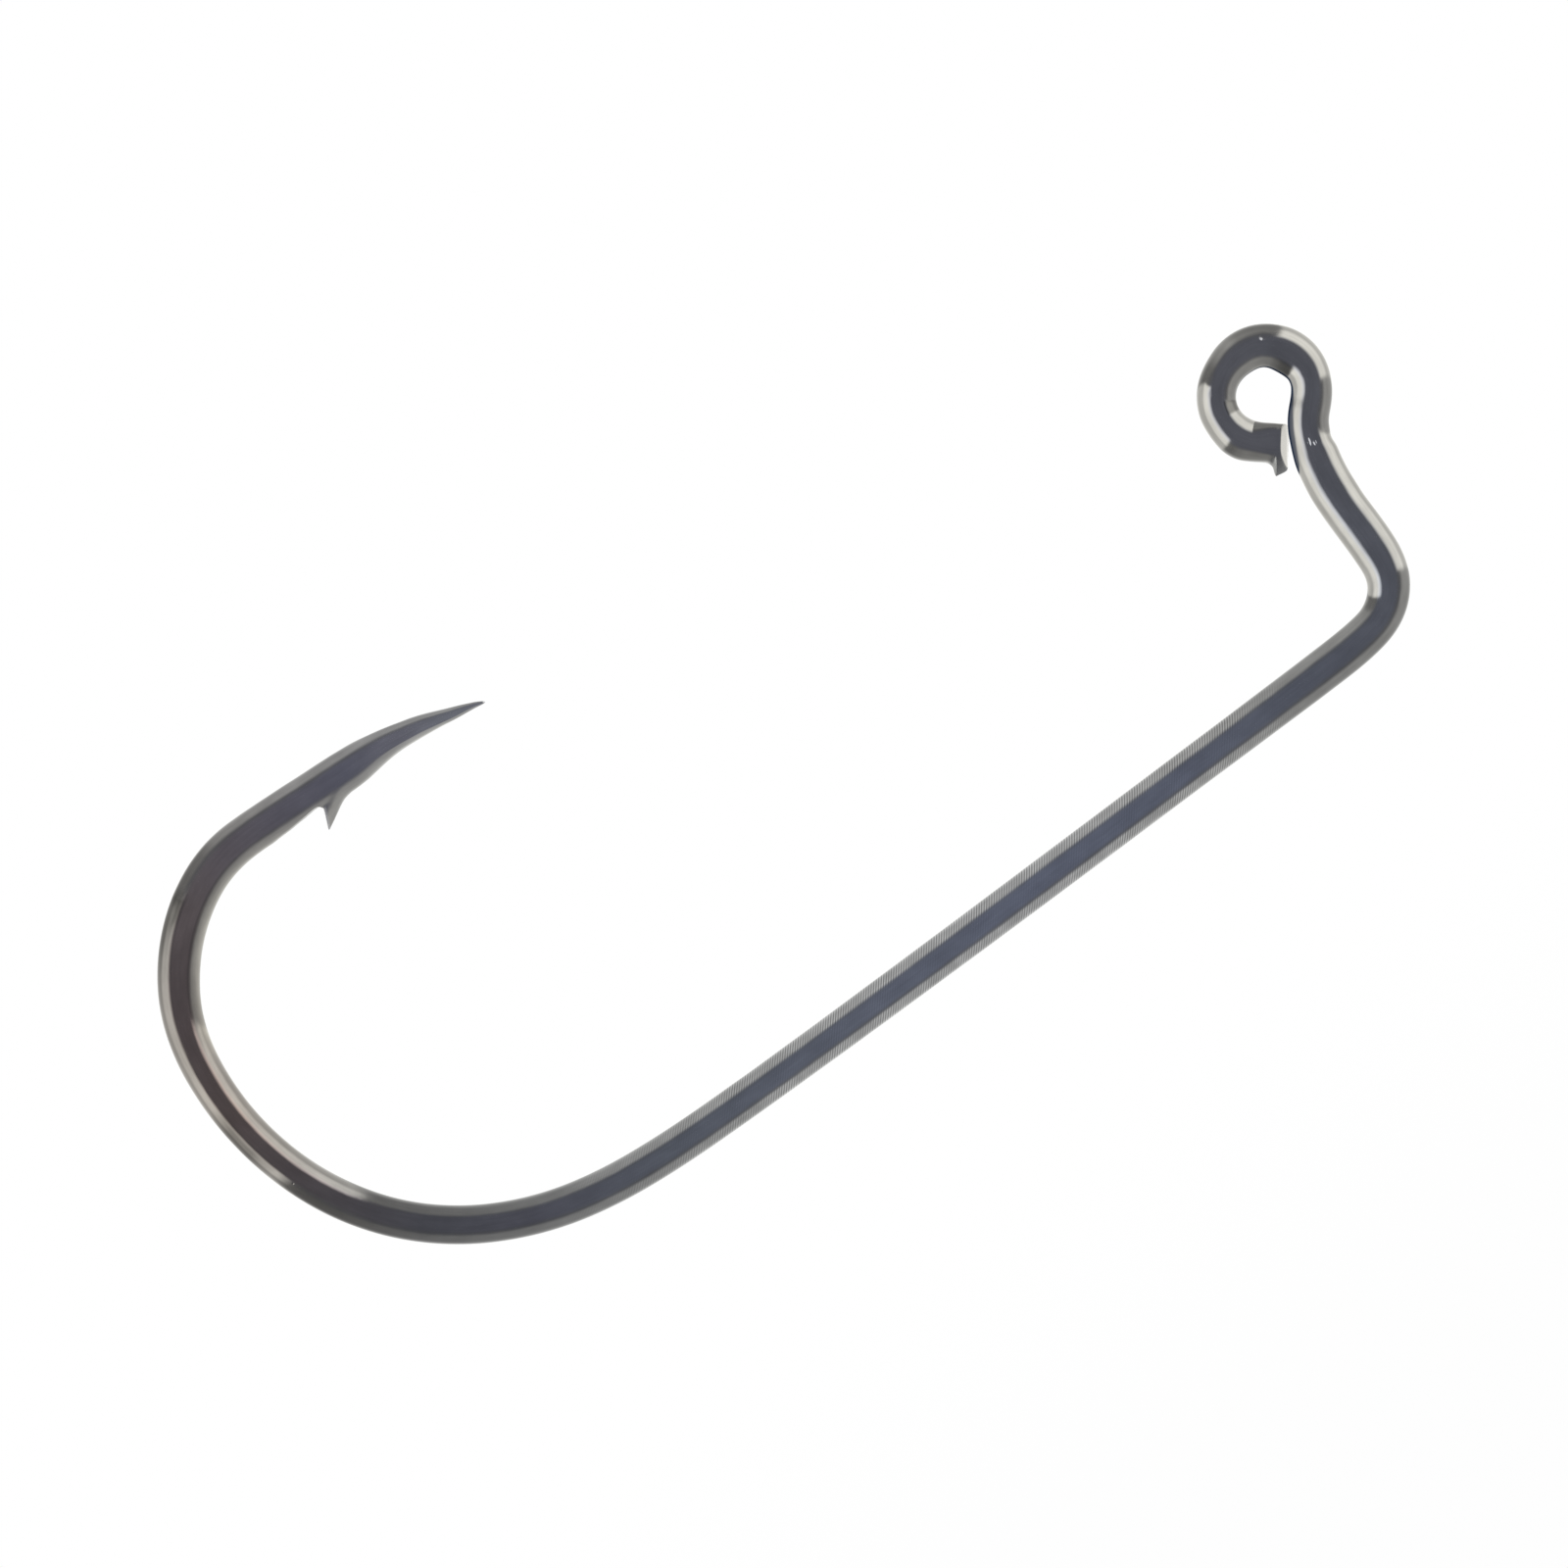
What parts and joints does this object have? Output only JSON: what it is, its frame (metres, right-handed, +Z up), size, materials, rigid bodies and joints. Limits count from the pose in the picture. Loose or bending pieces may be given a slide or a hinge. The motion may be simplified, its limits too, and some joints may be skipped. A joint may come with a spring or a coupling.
{
  "type": "jig hook",
  "caption": "Bare 90 degree jig hook bent from one wire, with a ring eye on a riser square to the shank, a round bend and a barbed, curved-in needle point.",
  "frame": {"origin": "centre of the line eye, in the middle of the wire's thickness", "axes": "the hook lies in the XZ plane; +X runs along the shank towards the eye end; +Z runs up from the shank towards the eye and the point, which is how the hook rides; +Y runs across the hook, along the axis of the line eye"},
  "size_m": [0.036, 0.0012, 0.0148],
  "materials": {
    "black_nickel": "bright black nickel plate over polished hard-drawn wire"
  },
  "bodies": {
    "root": {"jig_hook": "black_nickel"}
  },
  "joints": []
}
